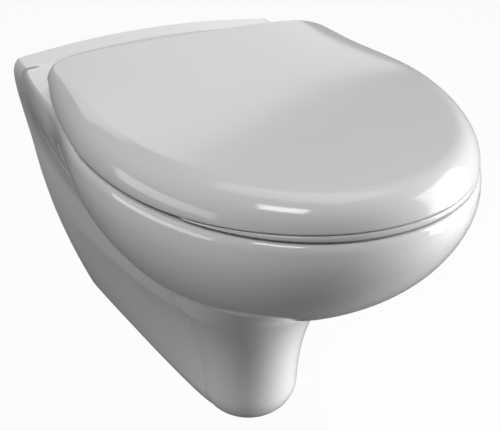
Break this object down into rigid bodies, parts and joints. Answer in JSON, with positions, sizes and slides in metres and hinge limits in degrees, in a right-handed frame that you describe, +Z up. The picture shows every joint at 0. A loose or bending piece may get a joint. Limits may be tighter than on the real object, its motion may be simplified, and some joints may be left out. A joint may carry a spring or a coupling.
{
  "type": "wall hung toilet",
  "caption": "Wall hung toilet: hollow ceramic pan with water trap and rim groove, hinged seat ring and hinged domed lid, for studs, inlet and outlet in a wall.",
  "frame": {"origin": "on the wall plane, halfway between the two wall studs", "axes": "+Z up, +Y into the wall, so the toilet reaches towards -Y; +X to the right of a person facing the wall"},
  "size_m": [0.3688, 0.5435, 0.3817],
  "materials": {
    "ceramic": "white gloss glaze",
    "seat_plastic": "white hard moulded plastic, polished",
    "plastic": "plain moulded",
    "rubber": "soft matt",
    "zinc_steel": "zinc plated",
    "stainless": "plain bright"
  },
  "bodies": {
    "pan_body": {"pan": "ceramic", "hinge_base_left": "seat_plastic", "hinge_pin_left": "stainless", "hinge_gasket_left": "rubber", "hinge_bolt_left": "stainless", "hinge_cone_left": "rubber", "hinge_nut_left": "plastic", "wall_stud_left": "zinc_steel", "stud_sleeve_left": "plastic", "stud_washer_left": "zinc_steel", "stud_nut_left": "zinc_steel", "hinge_base_right": "seat_plastic", "hinge_pin_right": "stainless", "hinge_gasket_right": "rubber", "hinge_bolt_right": "stainless", "hinge_cone_right": "rubber", "hinge_nut_right": "plastic", "wall_stud_right": "zinc_steel", "stud_sleeve_right": "plastic", "stud_washer_right": "zinc_steel", "stud_nut_right": "zinc_steel"},
    "seat": {"seat_ring": "seat_plastic", "seat_buffer_front_right": "rubber", "seat_buffer_front_left": "rubber", "seat_buffer_back_right": "rubber", "seat_buffer_back_left": "rubber"},
    "lid_body": {"lid": "seat_plastic", "lid_buffer_front_right": "rubber", "lid_buffer_front_left": "rubber", "lid_buffer_back_right": "rubber", "lid_buffer_back_left": "rubber"}
  },
  "joints": [
    {"name": "seat_hinge", "type": "hinge", "parent": "pan_body", "child": "seat", "pos_m": [0, -0.124, 0.1], "axis": [-1, 0, 0], "range_deg": [0, 90]},
    {"name": "lid_hinge", "type": "hinge", "parent": "seat", "child": "lid_body", "pos_m": [0, -0.124, 0.1], "axis": [-1, 0, 0], "range_deg": [0, 90]}
  ]
}
